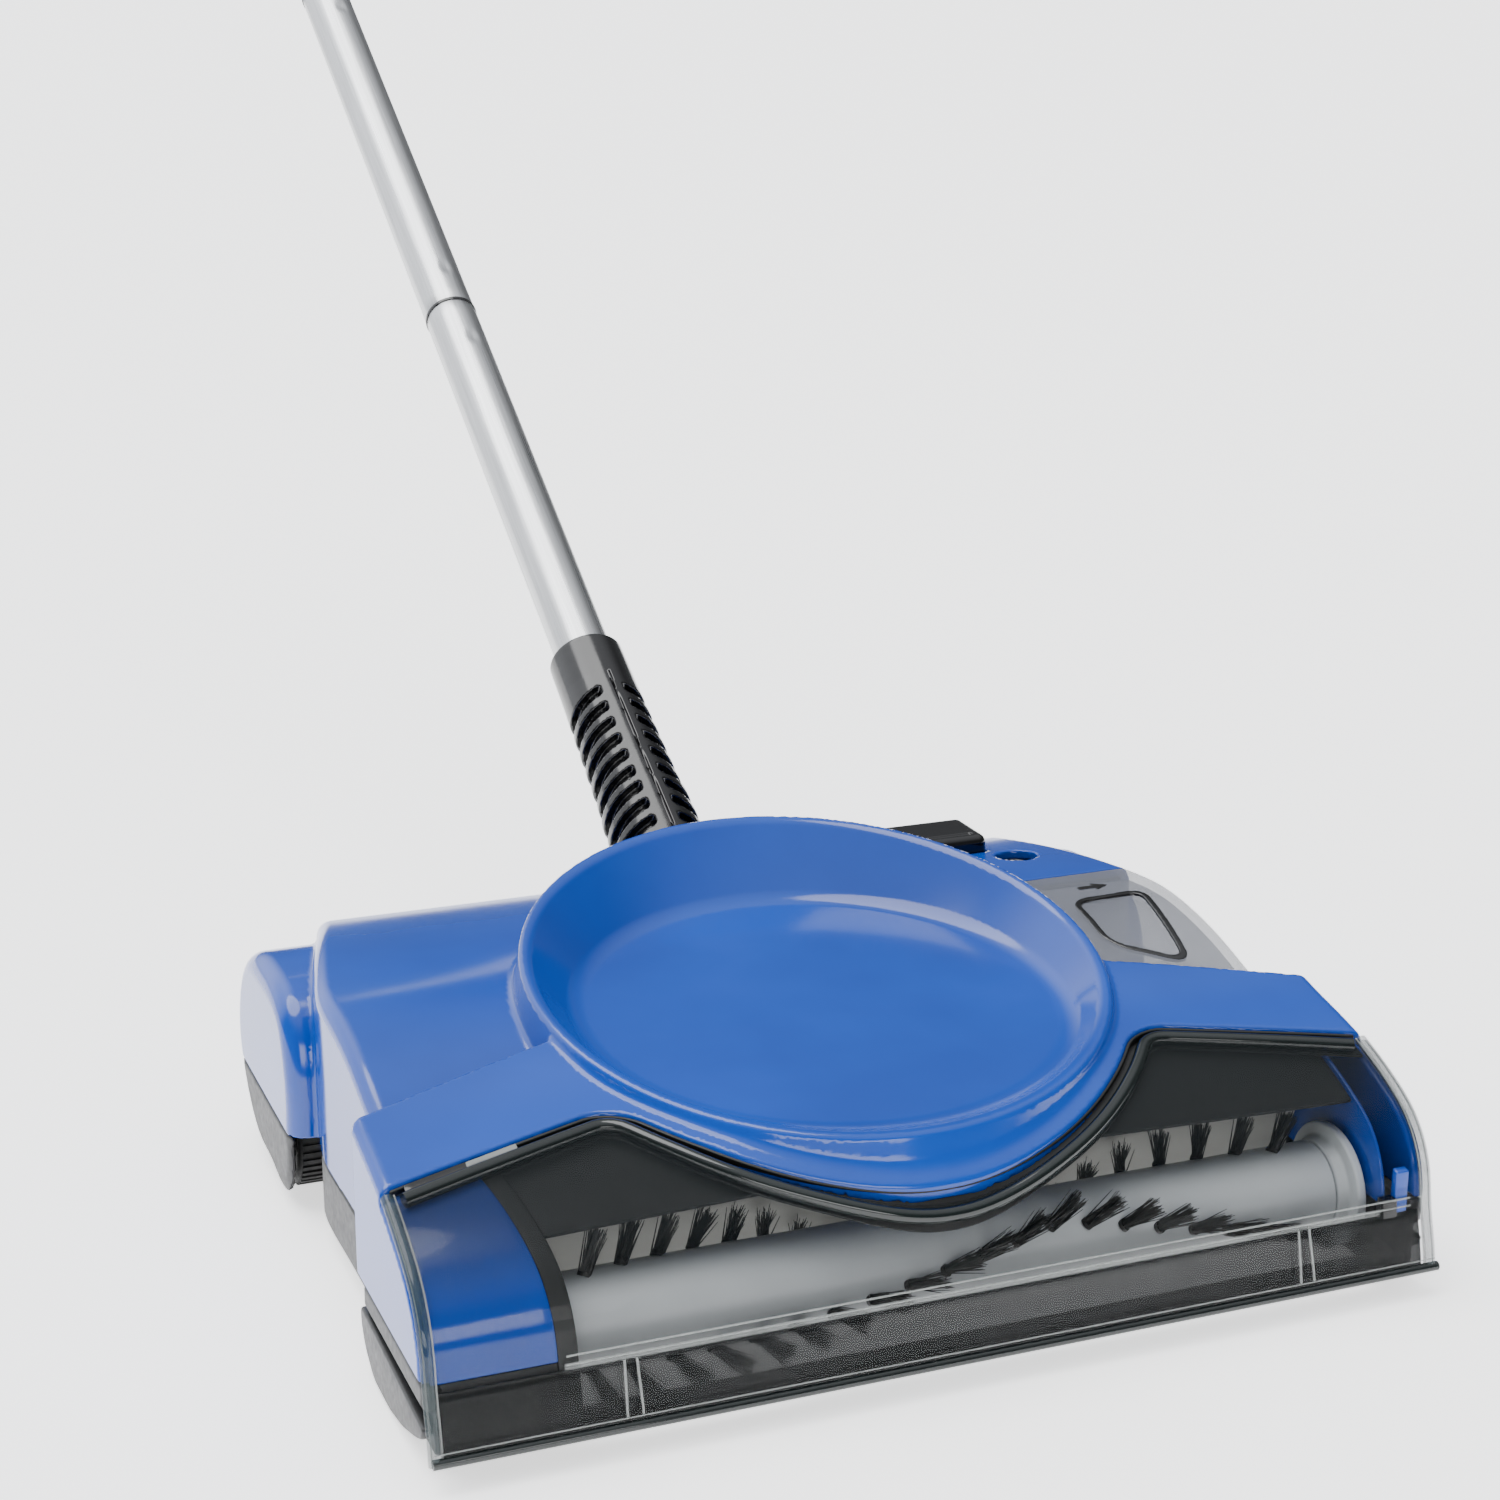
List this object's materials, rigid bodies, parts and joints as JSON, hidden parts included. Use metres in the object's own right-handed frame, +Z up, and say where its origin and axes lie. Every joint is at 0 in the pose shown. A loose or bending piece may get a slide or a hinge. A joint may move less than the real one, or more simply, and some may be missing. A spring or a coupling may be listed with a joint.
{
  "type": "carpet sweeper",
  "caption": "Cordless carpet sweeper: low head with brush roll behind a clear front, side-pull dust cup, foot pedal and reclining tube handle.",
  "frame": {"origin": "on the floor under the centre of the whole sweeper's plan box, handle leaning on its rear stop", "axes": "+Z up, +Y from the front lip to the handle's grip, +X to the right seen from the grip's opposite side, facing +Y"},
  "size_m": [0.318, 1.1362, 0.6257],
  "materials": {
    "blue_gloss": "glossy moulded",
    "dark_plastic": "satin moulded",
    "black_plastic": "glossy moulded",
    "smoked_window": "clear smoked moulded",
    "smoky_cup": "translucent grey moulded",
    "pale_core": "satin moulded",
    "bristle": "nylon tufts",
    "satin_aluminium": "satin drawn tube",
    "battery_can": "shrink sleeve",
    "board": "solder mask",
    "rubber": "matt moulded",
    "steel": "drawn"
  },
  "bodies": {
    "head": {"hood": "blue_gloss", "base_tray": "dark_plastic", "front_window": "smoked_window", "belt_cover": "blue_gloss", "corner_skirt_left": "dark_plastic", "corner_skirt_right": "dark_plastic", "bearing_block_left": "dark_plastic", "bearing_block_right": "dark_plastic", "brush_bush_left": "steel", "brush_bush_right": "steel", "front_axle_left": "steel", "front_axle_right": "steel", "rear_axle_left": "steel", "rear_axle_right": "steel", "handle_cradle_left": "dark_plastic", "handle_cradle_right": "dark_plastic", "pivot_pin": "steel", "motor": "steel", "drive_belt": "rubber", "battery_tray": "dark_plastic", "battery_cell_1": "battery_can", "battery_cell_2": "battery_can", "battery_cell_3": "battery_can", "battery_cell_4": "battery_can", "battery_cell_5": "battery_can", "battery_cell_6": "battery_can", "circuit_board": "board", "power_switch": "black_plastic", "pedal_spring": "steel", "charge_jack": "black_plastic", "dirt_ramp": "dark_plastic", "base_screw_1": "steel", "base_screw_2": "steel", "base_screw_3": "steel", "base_screw_4": "steel"},
    "handle": {"handle_yoke": "black_plastic", "handle_sleeve": "black_plastic", "lower_tube": "satin_aluminium", "middle_tube": "satin_aluminium", "upper_tube": "satin_aluminium", "tube_joiner_1": "black_plastic", "tube_joiner_2": "black_plastic", "grip_body": "rubber", "grip_cap": "black_plastic"},
    "brush": {"brush_core": "pale_core", "bristle_strip_a": "bristle", "bristle_strip_b": "bristle", "brush_flange_left": "black_plastic", "brush_flange_right": "pale_core", "brush_pulley": "black_plastic", "brush_axle": "steel"},
    "motor_drive": {"motor_pulley": "black_plastic"},
    "dust_cup": {"dust_cup_pan": "smoky_cup", "dust_cup_cover": "smoky_cup"},
    "pedal": {"power_pedal": "black_plastic"},
    "front_wheel_left": {"front_wheel_left": "rubber"},
    "front_wheel_right": {"front_wheel_right": "rubber"},
    "rear_wheel_left": {"rear_wheel_left": "rubber"},
    "rear_wheel_right": {"rear_wheel_right": "rubber"}
  },
  "joints": [
    {"name": "handle_recline", "type": "hinge", "parent": "head", "child": "handle", "pos_m": [0, -0.34212, 0.0625], "axis": [1, 0, 0], "range_deg": [0, 58.6]},
    {"name": "brush_spin", "type": "hinge", "parent": "head", "child": "brush", "pos_m": [0, -0.53512, 0.0255], "axis": [1, 0, 0], "continuous": true},
    {"name": "motor_spin", "type": "hinge", "parent": "head", "child": "motor_drive", "pos_m": [0, -0.47012, 0.033], "axis": [1, 0, 0], "continuous": true},
    {"name": "dust_cup_slide", "type": "slide", "parent": "head", "child": "dust_cup", "axis": [1, 0, 0], "range_m": [0, 0.19]},
    {"name": "pedal_press", "type": "slide", "parent": "head", "child": "pedal", "axis": [0, 0, -1], "range_m": [0, 0.004], "stiffness_N_per_m": 600, "springref_m": -0.001, "deforming": ["pedal_spring"]},
    {"name": "front_wheel_left_roll", "type": "hinge", "parent": "head", "child": "front_wheel_left", "pos_m": [0, -0.51411, 0.015], "axis": [1, 0, 0], "continuous": true},
    {"name": "front_wheel_right_roll", "type": "hinge", "parent": "head", "child": "front_wheel_right", "pos_m": [0, -0.51411, 0.015], "axis": [1, 0, 0], "continuous": true},
    {"name": "rear_wheel_left_roll", "type": "hinge", "parent": "head", "child": "rear_wheel_left", "pos_m": [0, -0.36012, 0.02], "axis": [1, 0, 0], "continuous": true},
    {"name": "rear_wheel_right_roll", "type": "hinge", "parent": "head", "child": "rear_wheel_right", "pos_m": [0, -0.36012, 0.02], "axis": [1, 0, 0], "continuous": true}
  ],
  "couplings": [
    {"joint": "motor_spin", "follows": "brush_spin", "ratio": 2}
  ]
}
